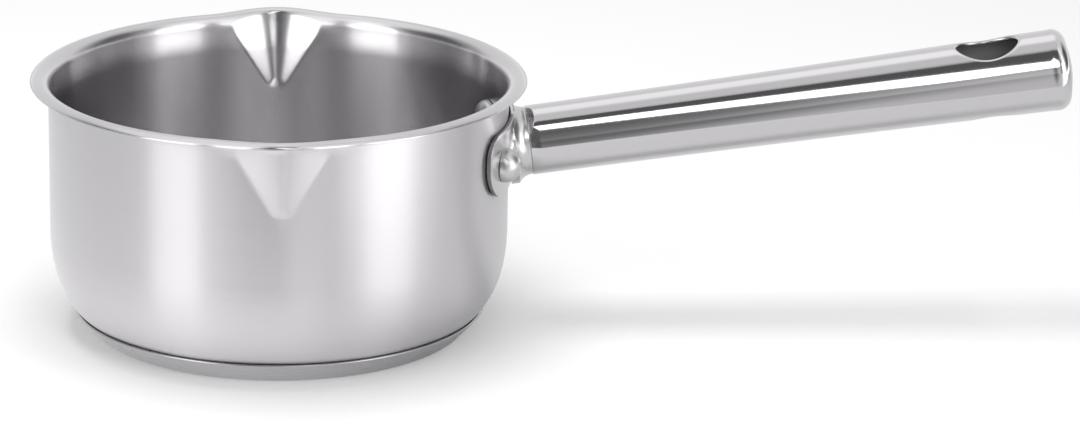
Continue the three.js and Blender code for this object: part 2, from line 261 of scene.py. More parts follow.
# %% From a modifier to a plain mesh
def keep_result(piece, modifier):
    """Turns the result of a modifier into the piece's own mesh."""
    evaluated = piece.evaluated_get(bpy.context.evaluated_depsgraph_get())
    mesh = bpy.data.meshes.new_from_object(evaluated)
    mesh.name = piece.name
    piece.modifiers.remove(modifier)
    piece.data = mesh


def run_tree(piece, nodes, sizes, material):
    """Runs a geometry tree on a piece once and keeps the result."""
    modifier = piece.modifiers.new(nodes.tree.name, "NODES")
    modifier.node_group = nodes.tree
    for socket in nodes.tree.interface.items_tree:
        if socket.in_out == "INPUT" and socket.name in sizes:
            modifier[socket.identifier] = float(sizes[socket.name])
        elif socket.in_out == "INPUT" and socket.name == "Material":
            modifier[socket.identifier] = material
    keep_result(piece, modifier)
    piece.data.shade_smooth()
    print(piece.name, "has", len(piece.data.vertices), "points after", nodes.tree.name)


# %% Sizes of a lip
lip_sizes = {
    "Wall radius": outer_radius * MM,
    "Rim height": rim_centre_height * MM,
    "Rim curl": rim_curl_radius * MM,
    "Face depth": 5.4 * MM,
    "Rim depth": 4.2 * MM,
    "Rise": 0.7 * MM,
    "Length": lip_length * MM,
    "Tip radius": 4 * MM,
    "Half angle": math.radians(24),
    "Rim half width": 24 * MM,
    "Valley at tip": 0.8 * MM,
    "Valley at rim": 4.5 * MM,
    "Softness": 0.6 * MM,
    "Gauge": wall_thickness * MM,
}
print("a lip has", len(lip_sizes), "named sizes")


# %% How deep a point lies inside the V
def depth_in_outline(nodes, size, across, above):
    """Distance inward from the V outline, from a place across and above its tip."""
    # The valley between the two faces widens toward the rim
    share = nodes.add("ShaderNodeClamp")
    nodes.feed(share.inputs[0], nodes.sum("DIVIDE", above, size["Length"]))
    widen = nodes.sum("SUBTRACT", size["Valley at rim"], size["Valley at tip"])
    valley = nodes.sum("MULTIPLY_ADD", share.outputs[0], widen, size["Valley at tip"])
    side = nodes.sum("SUBTRACT", nodes.length(across, valley), valley)

    # The outline has straight borders above and a round tip below
    sine = nodes.sum("SINE", size["Half angle"])
    cosine = nodes.sum("COSINE", size["Half angle"])
    from_tip = nodes.sum("SUBTRACT", above, size["Tip radius"])
    along = nodes.sum("ADD", nodes.sum("MULTIPLY", side, sine), nodes.sum("MULTIPLY", from_tip, cosine))
    rise = nodes.sum("MULTIPLY", from_tip, sine)
    slant = nodes.sum("SUBTRACT", rise, nodes.sum("MULTIPLY", side, cosine))
    straight = nodes.sum("ADD", size["Tip radius"], slant)
    rounded = nodes.sum("SUBTRACT", size["Tip radius"], nodes.length(side, from_tip))
    is_tip = nodes.sum("LESS_THAN", along, 0.0)
    return nodes.sum("MULTIPLY_ADD", is_tip, nodes.sum("SUBTRACT", rounded, straight), straight)


# %% How the rim follows
def rim_bulge(nodes, size, across, height):
    """Share of the rim's move: one over the middle of a lip, none beside it and far below."""
    turn = nodes.sum("MINIMUM", nodes.sum("DIVIDE", across, size["Rim half width"]), 1.0)
    wave = nodes.sum("COSINE", nodes.sum("MULTIPLY", turn, math.pi))
    wave = nodes.sum("MULTIPLY", nodes.sum("ADD", wave, 1.0), 0.5)
    low = nodes.sum("SUBTRACT", size["Rim height"], size["Rim curl"])
    high = nodes.sum("ADD", size["Rim height"], size["Rim curl"])
    return nodes.sum("MULTIPLY", wave, nodes.remap(height, low, high))


# %% How far the two faces lean out
def face_push(nodes, size, inside, radius, rim_push):
    """Push of the flat faces, which end softly where they meet the rim's curl."""
    sine = nodes.sum("SINE", size["Half angle"])
    full = nodes.sum("MULTIPLY", nodes.sum("SUBTRACT", size["Length"], size["Tip radius"]), sine)
    slope = nodes.sum("DIVIDE", size["Face depth"], nodes.sum("ADD", size["Tip radius"], full))
    face = nodes.sum("MULTIPLY", nodes.sum("MAXIMUM", inside, 0.0), slope)
    lining = nodes.add("GeometryNodeInputNamedAttribute", data_type="FLOAT")
    lining.inputs["Name"].default_value = "inside"
    gauge = nodes.sum("MULTIPLY", lining.outputs["Attribute"], size["Gauge"])
    curl = nodes.sum("SUBTRACT", nodes.sum("ADD", radius, gauge), size["Wall radius"])
    curl = nodes.sum("MAXIMUM", curl, 0.0)
    proud = nodes.sum("SUBTRACT", nodes.sum("SUBTRACT", face, curl), rim_push)
    proud = nodes.sum("MAXIMUM", proud, 0.0)
    return nodes.sum("DIVIDE", nodes.sum("POWER", proud, 2.0), nodes.sum("ADD", proud, size["Softness"]))


# %% The rule of a pressed lip
def lip_tree():
    """Moves each point of the shell as the pressing tool does."""
    nodes, entry = named_tree("press the lips", lip_sizes)
    size = {label: entry.outputs[label] for label in lip_sizes}
    x, y, z = nodes.parts(nodes.add("GeometryNodeInputPosition").outputs[0])
    radius = nodes.length(x, y)

    # Distance from the middle of the nearest lip, and from its tip upward
    turned = nodes.sum("ARCTAN2", nodes.sum("ABSOLUTE", x), nodes.sum("ABSOLUTE", y))
    across = nodes.sum("MULTIPLY", turned, size["Wall radius"])
    tip = nodes.sum("SUBTRACT", size["Rim height"], size["Length"])
    above = nodes.sum("SUBTRACT", z, tip)

    inside = depth_in_outline(nodes, size, across, above)
    bulge = rim_bulge(nodes, size, across, z)
    rim_push = nodes.sum("MULTIPLY", size["Rim depth"], bulge)
    push = nodes.sum("ADD", rim_push, face_push(nodes, size, inside, radius, rim_push))

    offset = nodes.add("ShaderNodeCombineXYZ")
    nodes.feed(offset.inputs[0], nodes.sum("MULTIPLY", nodes.sum("DIVIDE", x, radius), push))
    nodes.feed(offset.inputs[1], nodes.sum("MULTIPLY", nodes.sum("DIVIDE", y, radius), push))
    nodes.feed(offset.inputs[2], nodes.sum("MULTIPLY", size["Rise"], bulge))
    move = nodes.add("GeometryNodeSetPosition")
    nodes.feed(move.inputs["Geometry"], entry.outputs["Geometry"])
    nodes.feed(move.inputs["Offset"], offset.outputs[0])
    close_tree(nodes, entry, move.outputs["Geometry"])
    return nodes


# %% [markdown]
# ## Steel finishes
#
# All the steel is the same metal: what differs is how it was ground, and where a piece is darker
# than bright steel, its colour holds painted shade. A metal's look is nearly all reflection, so its
# base colour is what it reflects straight on, and roughness tells how wide each reflection spreads.
# An image of scratches could be wrapped round the pan, but it would need unfolding and would blur
# up close. Here noise is drawn out around the pan's axis instead, and each fine line of it changes
# the roughness and the relief a little.

# %% Blended values and fine relief
def blend(nodes, share, first, second):
    """A value between two others."""
    node = nodes.add("ShaderNodeMix", data_type="FLOAT")
    for label, entry in (("Factor", share), ("A", first), ("B", second)):
        nodes.feed(node.inputs[label], entry)
    return node.outputs["Result"]


def relief(nodes, height, depth, strength=1.0, under=None, **settings):
    """Fine relief of a depth in millimetres, laid over another one if that is given."""
    node = nodes.add("ShaderNodeBump", **settings)
    node.inputs["Strength"].default_value = strength
    node.inputs["Distance"].default_value = depth * MM
    nodes.feed(node.inputs["Height"], height)
    if under:
        nodes.feed(node.inputs["Normal"], under)
    return node.outputs["Normal"]


# %% A metal finish
def metal_finish(name, colour, roughness, stretch=0.0):
    """A metal with constants on the shader's own sockets."""
    material = bpy.data.materials.new(name)
    material.use_nodes = True
    shader = material.node_tree.nodes["Principled BSDF"]
    shader.inputs["Base Color"].default_value = (*colour, 1)
    shader.inputs["Metallic"].default_value = 1.0
    shader.inputs["Roughness"].default_value = roughness
    shader.inputs["Anisotropic"].default_value = stretch
    return material, Tree(material.node_tree), shader


# %% Lines ground around the pan
noise_detail = 3.0
noise_middle = (0.3, 0.7)
outward_share = 0.7
quarter_turn = 0.25


def ground_lines(nodes, along_scale, across_scale):
    """Noise drawn out around the Z axis into fine lines, and the height of each point."""
    x, y, z = nodes.parts(nodes.add("ShaderNodeTexCoord").outputs["Object"])
    radius = nodes.length(x, y)
    # The path runs outward along a floor and upward along a wall
    path = nodes.sum("ADD", z, nodes.sum("MULTIPLY", radius, outward_share))
    drawn_out = nodes.add("ShaderNodeCombineXYZ")
    nodes.feed(drawn_out.inputs[0], nodes.sum("MULTIPLY", nodes.sum("DIVIDE", x, radius), along_scale))
    nodes.feed(drawn_out.inputs[1], nodes.sum("MULTIPLY", nodes.sum("DIVIDE", y, radius), along_scale))
    nodes.feed(drawn_out.inputs[2], nodes.sum("MULTIPLY", path, across_scale))
    noise = nodes.add("ShaderNodeTexNoise")
    noise.inputs["Scale"].default_value = 1.0
    noise.inputs["Detail"].default_value = noise_detail
    nodes.feed(noise.inputs["Vector"], drawn_out.outputs[0])
    return noise.outputs["Fac"], z


def spread_upright(nodes, shader):
    """Stretches the gloss upright, across the lines that run around the Z axis."""
    shader.inputs["Anisotropic Rotation"].default_value = quarter_turn
    tangent = nodes.add("ShaderNodeTangent", direction_type="RADIAL", axis="Z")
    nodes.feed(shader.inputs["Tangent"], tangent.outputs[0])


# %% [markdown]
# ## Satin wall, smoother lining, polished rim
#
# The outside wall is ground around the pan, the inside is smoother, and the curled rim is
# polished. Three materials on three bands of faces would show a hard border, so one material
# blends its roughness instead: by height toward the rim, and by an attribute of the mesh that is
# 1 on the inside. Ground lines spread light across themselves, so the wall shows tall soft
# streaks. An anisotropic gloss that is turned upright gives them.

# %% Roughness of the shell
bright_steel = (0.622, 0.609, 0.626)
satin_roughness = (0.28, 0.34)
lining_roughness = 0.24
rim_roughness = 0.2
polish_start = 86.5
polish_end = 89

shell_steel, nodes, shader = metal_finish("satin shell steel", bright_steel, roughness=0.3, stretch=0.95)
spread_upright(nodes, shader)
lines, height = ground_lines(nodes, along_scale=0.8, across_scale=5200.0)
satin = nodes.remap(lines, *noise_middle, *satin_roughness)
lined = nodes.add("ShaderNodeAttribute", attribute_name="inside").outputs["Fac"]
satin = blend(nodes, lined, satin, lining_roughness)
polished = nodes.remap(height, polish_start * MM, polish_end * MM)
nodes.feed(shader.inputs["Roughness"], blend(nodes, polished, satin, rim_roughness))

# %% [markdown]
# Inside, the last few millimetres of the wall lean outward before the rim curls over, and catch a
# soft band of light. This lean is too small to matter for the size of the pan, so it isn't in the
# CAD model. It could be modelled here, but the wall would then leave the CAD solid. A relief by
# height turns the shading alone, and the mesh stays where it is.

# %% Relief of the shell
line_depth = 0.004
line_strength = 0.6
lean_start = 77.5
lean_end = 90.5
lean_depth = 1.5

lean = nodes.sum("MULTIPLY", lined, nodes.remap(height, lean_start * MM, lean_end * MM))
leaning = relief(nodes, lean, lean_depth, invert=True)
nodes.feed(shader.inputs["Normal"], relief(nodes, lines, line_depth, line_strength, under=leaning))
print("made", shell_steel.name)

# %% [markdown]
# ## The shell, spun and pressed
#
# The profile is spun once around the axis, and the tree presses both lips at once. Even facets
# would have to be very many before the borders of the lips look crisp. So the facets gather
# toward the lips and stay wider where the wall is plain. The result is kept as a plain mesh, so
# that no modifier is left on the piece.

# %% Spin and press the shell
shell_facets = 320
gather_share = 0.7

# Facets are finer toward the two lips, which face along Y
azimuths = [turn + gather_share * math.sin(2 * turn) / 2 for turn in even_turns(shell_facets)]
points, faces = spin(shell_profile, azimuths)
pan_shell = add_piece("pan_shell", points, faces)

# The outside comes first in the profile, and its first point is a single pole
outside_count = 1 + (len(shell_profile) // 2 - 1) * len(azimuths)
lining = pan_shell.data.attributes.new("inside", "FLOAT", "POINT")
for number, entry in enumerate(lining.data):
    entry.value = 0.0 if number < outside_count else 1.0
run_tree(pan_shell, lip_tree(), lip_sizes, shell_steel)
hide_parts("pan_body")
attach(pan_shell, "root")

# %% [markdown]
# ## The layered base
#
# A pressed cap covers the heat-spreading disc. Its side slants up from a small round and stops
# just short of the shell, which leaves the thin dark groove that runs around the foot of the pan.
# The groove could be painted on, but it is a real gap, so the cap is spun from a profile that
# ends 0.6 mm from the shell. The cap's colour is darker than the wall's, a painted shade for the
# shadowed table under the pan that it mirrors, and its ground lines are coarser.

# %% Sizes of the base cap
cap_thickness = 0.7
cap_height = 7.6
cap_corner_radius = 3
cap_slant = math.radians(47)
groove_width = 0.6

# The slant starts where it must to pass the shell at the width of the groove
cap_inner_top = cap_height + cap_thickness * math.cos(cap_slant)
down = (corner_top - cap_inner_top) / corner_height
shell_reach = corner_width * (1 - down ** corner_exponent) ** (1 / corner_exponent)
shell_radius = outer_radius - corner_width + shell_reach
cap_rim_radius = shell_radius + groove_width + cap_thickness * math.sin(cap_slant)
slant_run = (cap_height - cap_corner_radius * (1 - math.cos(cap_slant))) / math.tan(cap_slant)
flat_radius = cap_rim_radius - slant_run - cap_corner_radius * math.sin(cap_slant)
print("the base is flat out to", round(flat_radius, 1), "mm")

# %% Profile of the base cap
cap_round_steps = 10
cap_slant_shares = (0.25, 0.5, 0.75, 0.97, 1)


def cap_side(inward, top):
    """A round off the flat underside, then a straight slant up to a height."""
    radius = cap_corner_radius - inward
    angles = [cap_slant * step / cap_round_steps for step in range(cap_round_steps + 1)]
    side = [(flat_radius + radius * math.sin(a), cap_corner_radius - radius * math.cos(a)) for a in angles]
    foot, height = side[-1]
    rise = top - height
    return side + [(foot + rise * share / math.tan(cap_slant), height + rise * share)
                   for share in cap_slant_shares]


cap_profile = [(0, 0)] + cap_side(0, cap_height)
cap_profile += cap_side(cap_thickness, cap_inner_top)[::-1] + [(0, cap_thickness)]
print("the cap's profile has", len(cap_profile), "points")

# %% The base cap and its finish
base_facets = 240
# The cap's darker colour is painted shade for the shadowed table that it mirrors.
cap_colour_with_painted_shade = (0.47, 0.462, 0.475)
base_roughness = (0.26, 0.4)

base_steel, nodes, shader = metal_finish("ground base steel with painted shade", cap_colour_with_painted_shade, roughness=0.32, stretch=0.6)
spread_upright(nodes, shader)
lines, height = ground_lines(nodes, along_scale=1.2, across_scale=2200.0)
nodes.feed(shader.inputs["Roughness"], nodes.remap(lines, *noise_middle, *base_roughness))
nodes.feed(shader.inputs["Normal"], relief(nodes, lines, depth=0.01, strength=0.8))

points, faces = spin(cap_profile, even_turns(base_facets))
base_dish = add_piece("base_dish", points, faces, base_steel)
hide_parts("base_cap")
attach(base_dish, "root")
print("base_dish has", len(base_dish.data.polygons), "faces")

# %% [markdown]
# ## The aluminium disc
#
# The disc is sealed between the shell and the cap, and nobody sees it. A finer mesh would show
# nothing more, so it keeps its CAD solid and only gets the dull look of rolled aluminium.

# %% Finish of the disc
disc_colour = (0.74, 0.75, 0.76)
disc_roughness = (0.42, 0.58)

aluminium, nodes, shader = metal_finish("rolled aluminium", disc_colour, roughness=0.5)
lines, height = ground_lines(nodes, along_scale=0.8, across_scale=900.0)
nodes.feed(shader.inputs["Roughness"], nodes.remap(lines, *noise_middle, *disc_roughness))
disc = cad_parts["heat_disc"]
disc.material_slots[0].material = aluminium
print(disc.name, "keeps its CAD solid")

# %% [markdown]
# ## The handle's own frame
#
# The handle is straight, rises 7.7 degrees and is rolled 8 degrees about itself. Its objects could
# be turned into place, but a finished piece has to sit unturned at the origin. So it is made lying
# along X from zero, and its points are carried into place when the mesh is made.

# %% Handle sizes and place
handle_length = 195
neck_length = 7.2
handle_below_rim = 24.7
handle_rise = math.radians(7.7)
handle_roll = math.radians(8)
tube_root_radius = 12.35
tube_end_radius = 14.6
tube_wall = 0.9
tube_taper_exponent = 1.5
tube_root_edge = 0.5
end_corner = 4.6
end_dome = 1.6

handle_start = outer_radius + neck_length
handle_height = pan_height - handle_below_rim
handle_frame = (
    Matrix.Translation((handle_start, 0, handle_height))
    @ Matrix.Rotation(-handle_rise, 4, "Y")
    @ Matrix.Rotation(handle_roll, 4, "X")
)


def handle_radius(along):
    """Outer radius of the handle, which widens most near its end."""
    share = max(along, 0) / handle_length
    return tube_root_radius + (tube_end_radius - tube_root_radius) * share ** tube_taper_exponent


print("the tube starts", round(handle_start, 1), "mm from the pan's axis")

# %% [markdown]
# ## The tube with its hanging hole
#
# On the real pan the tube and its domed end are welded and ground into one, so one skin is made
# here for both. The hole is punched and its edge rolled inward. A boolean would leave a ragged
# edge on a mirror finish. Instead, a block of the skin's grid is left out at the top and at the
# bottom, and filled with rings that run from the block's border to the ellipse, then over the
# rolled edge. The wall's thickness is given to the whole skin at the end, inward.

# %% Hole sizes
hole_from_end = 29.5
hole_half_length = 11
hole_half_width = 7.8
hole_roll_radius = 1.2
hole_place = handle_length - hole_from_end
print("the hole is", 2 * hole_half_length, "by", 2 * hole_half_width, "mm")

# %% Stations along the tube
coarse_steps = 40
fine_steps = 52
last_steps = 4
end_corner_steps = 10
dome_shares = (0.85, 0.7, 0.55, 0.4, 0.25, 0.1)
fine_before_hole = 21
fine_past_hole = 18

fine_start = hole_place - fine_before_hole
fine_end = hole_place + fine_past_hole
fine_step = (fine_end - fine_start) / fine_steps


def tube_stations():
    """[distance along, radius] from the rounded root edge to the middle of the domed end."""
    edge = tube_root_edge
    corner_start = handle_length - end_dome - end_corner
    straight = [edge + (fine_start - edge) * step / coarse_steps for step in range(coarse_steps)]
    straight += [fine_start + (fine_end - fine_start) * step / fine_steps for step in range(fine_steps + 1)]
    straight += [fine_end + (corner_start - fine_end) * step / last_steps for step in range(1, last_steps)]
    stations = [(edge * (1 - math.cos(a)), handle_radius(0) - edge * (1 - math.sin(a)))
                for a in (0, math.pi / 6, math.pi / 3)]
    stations += [(along, handle_radius(along)) for along in straight]
    flat = tube_end_radius - end_corner
    for step in range(end_corner_steps + 1):
        angle = step / end_corner_steps * math.pi / 2
        stations.append((corner_start + end_corner * math.sin(angle), flat + end_corner * math.cos(angle)))
    for share in dome_shares:
        stations.append((corner_start + end_corner + end_dome * (1 - share ** 2), flat * share))
    return stations


stations = tube_stations()
print("the tube has", len(stations), "stations")

# %% Points of the skin and of the hole's edge
around = 128
block_half_steps = 20
first_column = next(i for i, (along, _) in enumerate(stations) if along > fine_start + fine_step / 2)
last_column = next(i for i, (along, _) in enumerate(stations) if along > fine_end - fine_step / 2)


def tube_point(along, radius, step):
    """Point on the skin. Step 0 is the top, and steps run around the tube."""
    angle = 2 * math.pi * step / around
    return (along, radius * math.sin(angle), radius * math.cos(angle))


def roll_point(turn, bend, upward):
    """Point on the rolled edge, which bends from the tube's surface into the hole."""
    normal = Vector((hole_half_width * math.cos(turn), hole_half_length * math.sin(turn))).normalized()
    outward = hole_roll_radius * (1 - math.sin(bend))
    x = hole_half_length * math.cos(turn) + outward * normal.x
    y = hole_half_width * math.sin(turn) + outward * normal.y
    centre = handle_radius(hole_place) - hole_roll_radius
    slope = (handle_radius(hole_place + 1) - handle_radius(hole_place - 1)) / 2
    height = math.sqrt(centre ** 2 - y ** 2) + hole_roll_radius * math.cos(bend) + slope * x
    return Vector((hole_place + x, y, upward * height))


# %% Rings around the hole
block_rows = 14
roll_steps = 6


def join_rings(faces, ring, following):
    """Quads between two rings of point numbers."""
    for step, here in enumerate(ring):
        after = (step + 1) % len(ring)
        faces.append((here, ring[after], following[after], following[step]))


def fill_block(points, faces, upward, middle):
    """Fills one block with rings that end on the rolled edge of the hole."""
    columns = range(first_column, last_column + 1)
    steps = range(-block_half_steps, block_half_steps + 1)
    border = [(c, steps[0]) for c in columns] + [(last_column, s) for s in steps[1:]]
    border += [(c, steps[-1]) for c in columns[-2::-1]] + [(first_column, s) for s in steps[-2:0:-1]]
    ring = [column * around + (middle + step) % around for column, step in border]
    outer = [Vector(points[i]) for i in ring]
    turns = [math.atan2(point.y / hole_half_width, (point.x - hole_place) / hole_half_length)
             for point in outer]
    for row in range(1, block_rows + 1):
        share = row / block_rows
        following = []
        for point, turn in zip(outer, turns):
            goal = roll_point(turn, 0, upward)
            x = point.x + (goal.x - point.x) * share
            y = point.y + (goal.y - point.y) * share
            following.append(len(points))
            points.append((x, y, upward * math.sqrt(handle_radius(x) ** 2 - y ** 2)))
        join_rings(faces, ring, following)
        ring = following
    for bend in range(1, roll_steps + 1):
        following = [len(points) + number for number in range(len(turns))]
        points.extend(roll_point(turn, bend / roll_steps * math.pi / 2, upward) for turn in turns)
        join_rings(faces, ring, following)
        ring = following


# %% One skin for the tube
def in_block(column, step):
    """Whether a face of the grid is left out for a hole, at the top or at the bottom."""
    half = around // 2
    from_top = min(step, around - 1 - step)
    from_bottom = min(abs(step - half), abs(half - 1 - step))
    return first_column <= column < last_column and min(from_top, from_bottom) < block_half_steps


def tube_skin():
    """Points and faces of the handle's outer skin, with both holes left open."""
    points = [tube_point(along, radius, step) for along, radius in stations for step in range(around)]
    faces = []
    for column in range(len(stations) - 1):
        here, there = column * around, (column + 1) * around
        for step in range(around):
            after = (step + 1) % around
            if not in_block(column, step):
                faces.append((here + step, there + step, there + after, here + after))
    pole = len(points)
    points.append((handle_length, 0, 0))
    last = (len(stations) - 1) * around
    faces += [(last + step, pole, last + (step + 1) % around) for step in range(around)]
    fill_block(points, faces, 1, 0)
    fill_block(points, faces, -1, around // 2)
    return points, faces


# %% A wall for the skin, and faces that point outward
merge_distance = 0.01


def give_wall(piece, thickness):
    """Turns a skin into a sheet of even thickness, inward, and keeps the result."""
    wall = piece.modifiers.new("wall", "SOLIDIFY")
    wall.thickness = thickness * MM
    wall.offset = -1
    wall.use_even_offset = True
    wall.material_offset = 1
    keep_result(piece, wall)


def face_outward(piece):
    """Merges doubles and turns every face outward."""
    work = bmesh.new()
    work.from_mesh(piece.data)
    bmesh.ops.remove_doubles(work, verts=work.verts, dist=merge_distance * MM)
    bmesh.ops.recalc_face_normals(work, faces=work.faces)
    work.to_mesh(piece.data)
    work.free()


# %% The handle
handle_steel = metal_finish("polished handle steel", bright_steel, roughness=0.08)[0]
# The lining's dark colour is painted shade for the hollow inside of the tube.
tube_lining_painted_shade = metal_finish("dull steel with painted shade inside the tube", (0.3, 0.295, 0.295), roughness=0.55)[0]
points, faces = tube_skin()
points = [handle_frame @ Vector(point) for point in points]
handle = add_piece("handle", points, faces, handle_steel)
handle.data.materials.append(tube_lining_painted_shade)
face_outward(handle)
give_wall(handle, tube_wall)
handle.data.shade_smooth()
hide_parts("handle_tube", "handle_end_cap")
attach(handle, "root")
print("handle has", len(handle.data.polygons), "faces")

# %% [markdown]
# ## The saddle bracket
#
# A saddle plate is bent to the pan's wall, and its neck carries the tube. The plate is a strip of
# even thickness whose outline has two round lobes and a waist. It could be cut from a sheet and
# bent with a modifier, but here its grid is laid on the bent surface at once. The neck is spun,
# joined to the plate with an exact boolean, and the crease between them is eased like a weld.

# %% Bracket sizes
bracket_thickness = 1.5
bracket_half_length = 41.6
bracket_height = 23.2
bracket_top_corner = 8.5
bracket_bottom_corner = 12
bracket_waist = 2.5
neck_inset = 0.3
neck_fillet_radius = 5.5
neck_flare = 2.6
spigot_length = 6
edge_break = 0.35
seat_gap = 0.3

bracket_inner_radius = outer_radius + seat_gap
bracket_outer_radius = bracket_inner_radius + bracket_thickness
spigot_radius = tube_root_radius - tube_wall - seat_gap
print("the plate is", 2 * bracket_half_length, "by", bracket_height, "mm")


# %% Outline and section of the plate
front_rows = 18
back_rows = 4


def bracket_edge(along, upper):
    """Height of the plate's upper or lower edge."""
    corner = bracket_top_corner if upper else bracket_bottom_corner
    past = max(abs(along) - (bracket_half_length - corner), 0)
    drop = corner - math.sqrt(max(corner ** 2 - past ** 2, 0))
    if upper:
        return handle_height + bracket_height / 2 - drop
    lobe = bracket_half_length - bracket_bottom_corner
    waist = bracket_waist * (1 + math.cos(math.pi * min(abs(along) / lobe, 1))) / 2
    return handle_height - bracket_height / 2 + drop + waist


def bracket_section(low, high):
    """Upright section of the plate as [radius, height] points, with rounded edges."""
    inner, outer, edge = bracket_inner_radius, bracket_outer_radius, edge_break
    bends = [math.pi / 6, math.pi / 3]
    flat = high - low - 2 * edge
    section = [(outer, low + edge + flat * step / front_rows) for step in range(front_rows + 1)]
    section += [(outer - edge + edge * math.cos(a), high - edge + edge * math.sin(a)) for a in bends]
    section += [(outer - edge, high), (inner + edge, high)]
    section += [(inner, high - edge - flat * step / back_rows) for step in range(back_rows + 1)]
    section += [(inner + edge, low), (outer - edge, low)]
    section += [(outer - edge + edge * math.cos(a), low + edge - edge * math.sin(a)) for a in bends[::-1]]
    return section


# %% The bent plate
plate_columns = 96


def skin(ring_count, ring_size):
    """Quads between rings of points that are stored one after the other."""
    faces = []
    for row in range(ring_count - 1):
        here, there = row * ring_size, (row + 1) * ring_size
        for step in range(ring_size):
            after = (step + 1) % ring_size
            faces.append((here + step, here + after, there + after, there + step))
    return faces


def bent_plate():
    """Sections carried around the wall, closed at both ends."""
    points = []
    for step in range(plate_columns + 1):
        along = bracket_half_length * math.sin((2 * step / plate_columns - 1) * math.pi / 2)
        turn = along / bracket_outer_radius
        section = bracket_section(bracket_edge(along, False), bracket_edge(along, True))
        points += [(r * math.cos(turn), r * math.sin(turn), h) for r, h in section]
    size = len(section)
    faces = skin(plate_columns + 1, size)
    faces += [tuple(range(size))[::-1], tuple(plate_columns * size + i for i in range(size))]
    return points, faces


# %% The neck
neck_facets = 96
flare_steps = 12
lay_along_x = Matrix.Rotation(math.pi / 2, 4, "Y")


def neck_points():
    """The spun neck: a spigot inside the tube, a shoulder, and a flare to a wide foot."""
    neck_radius = tube_root_radius - neck_inset
    sweep = math.acos(1 - neck_flare / neck_fillet_radius)
    back = inner_radius - handle_start
    profile = [(0, back), (neck_radius + neck_flare, back)]
    for step in range(flare_steps + 1):
        angle = sweep * (1 - step / flare_steps)
        profile.append((
            neck_radius + neck_fillet_radius * (1 - math.cos(angle)),
            -seat_gap - neck_fillet_radius * math.sin(angle),
        ))
    profile += [(spigot_radius, -seat_gap), (spigot_radius, spigot_length), (0, spigot_length)]
    points, faces = spin(profile, even_turns(neck_facets))
    return [handle_frame @ lay_along_x @ Vector(point) for point in points], faces


# %% Join and ease
weld_merge_distance = 0.02


def apply_boolean(piece, other, operation):
    """Joins or cuts a piece with another, which is then removed."""
    modifier = piece.modifiers.new(operation, "BOOLEAN")
    modifier.operation = operation
    modifier.object = other
    modifier.solver = "EXACT"
    keep_result(piece, modifier)
    bpy.data.objects.remove(other)


def ease_creases(piece, angle, rounds, inside_radius):
    """Rounds the inward creases of a joint by moving their points between their neighbours."""
    work = bmesh.new()
    work.from_mesh(piece.data)
    bmesh.ops.remove_doubles(work, verts=work.verts, dist=weld_merge_distance * MM)
    creases = [edge for edge in work.edges if len(edge.link_faces) == 2
               and edge.calc_face_angle_signed(0) < -angle]
    points = {point for edge in creases for point in edge.verts
              if math.hypot(point.co.x, point.co.y) > inside_radius * MM}
    for _ in range(rounds):
        bmesh.ops.smooth_vert(work, verts=list(points), factor=0.5,
                              use_axis_x=True, use_axis_y=True, use_axis_z=True)
    work.to_mesh(piece.data)
    work.free()
    print("eased", len(points), "points of", piece.name)


# %% The bracket
wall_facets = 360
wall_cut_height = 100
crease_angle = math.radians(20)
crease_rounds = 4
crease_depth = 0.2
sharp_angle = math.radians(40)

points, faces = bent_plate()
bracket = add_piece("bracket", points, faces)
face_outward(bracket)
points, faces = neck_points()
neck = add_piece("neck", points, faces)
face_outward(neck)
apply_boolean(bracket, neck, "UNION")

# The neck's foot reaches into the pan, so what lies inside the plate's inner face is cut away
within = bracket_inner_radius
wall_profile = [(0, 0), (within, 0), (within, wall_cut_height), (0, wall_cut_height)]
points, faces = spin(wall_profile, even_turns(wall_facets))
wall = add_piece("wall", points, faces)
face_outward(wall)
apply_boolean(bracket, wall, "DIFFERENCE")
ease_creases(bracket, crease_angle, crease_rounds, bracket_outer_radius - crease_depth)
bracket.data.shade_smooth()
bracket.data.set_sharp_from_angle(angle=sharp_angle)

# %% [markdown]
# The bracket shines softly, as tumbled steel does, but the sheared edge of its plate is dull, and
# its dark colour adds painted shade for the shadowed gap between plate and wall, so a dark line
# runs round the plate. The edge could be picked by height and angle inside one material. It is
# simpler to give its faces a second material: they lie within the plate's outer face and look
# sideways.

# %% Finishes of the bracket
tumbled_steel = (0.6, 0.595, 0.6)
edge_margin = 0.02
edge_tilt = 0.6

bracket_steel = metal_finish("tumbled bracket steel", tumbled_steel, roughness=0.24)[0]
# The edge's dark colour is partly its dull sheared face and partly painted shade of the gap.
sheared_edge_with_painted_shade = metal_finish("sheared edge of the plate with painted shade", (0.28, 0.275, 0.28), roughness=0.5)[0]
bracket.data.materials.clear()
bracket.data.materials.append(bracket_steel)
bracket.data.materials.append(sheared_edge_with_painted_shade)
for face in bracket.data.polygons:
    outward = Vector((face.center.x, face.center.y, 0))
    within_plate = outward.length < (bracket_outer_radius - edge_margin) * MM
    sideways = abs(face.normal.dot(outward.normalized())) < edge_tilt
    face.material_index = int(within_plate and sideways)
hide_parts("handle_bracket")
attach(bracket, "root")
print("bracket has", len(bracket.data.polygons), "faces")

# %% [markdown]
# ## Two rivets
#
# A rivet is a pin whose ends are pressed into heads: a high round one outside and a low one
# inside. Both rivets are alike, so a second one could be a copy that is turned by hand. Here one
# is spun, and a Geometry Nodes tree places it twice on the circle of the wall, at a named angle to
# either side of the handle, so that both always match. Their heads are duller than the polished
# handle.

# %% Rivet sizes
rivet_shank_radius = 2.4
rivet_from_bracket_end = 13.4
rivet_drop = 0.9
rivet_head_radius = 6
rivet_head_height = 5.8
rivet_inner_head_radius = 8
rivet_inner_head_height = 4.4
rivet_facets = 64
rivet_head_steps = 12

rivet_height = handle_height - rivet_drop
rivet_sizes = {"Azimuth": (bracket_half_length - rivet_from_bracket_end) / bracket_outer_radius}
print("each rivet is", round(math.degrees(rivet_sizes["Azimuth"]), 1), "degrees from the handle")


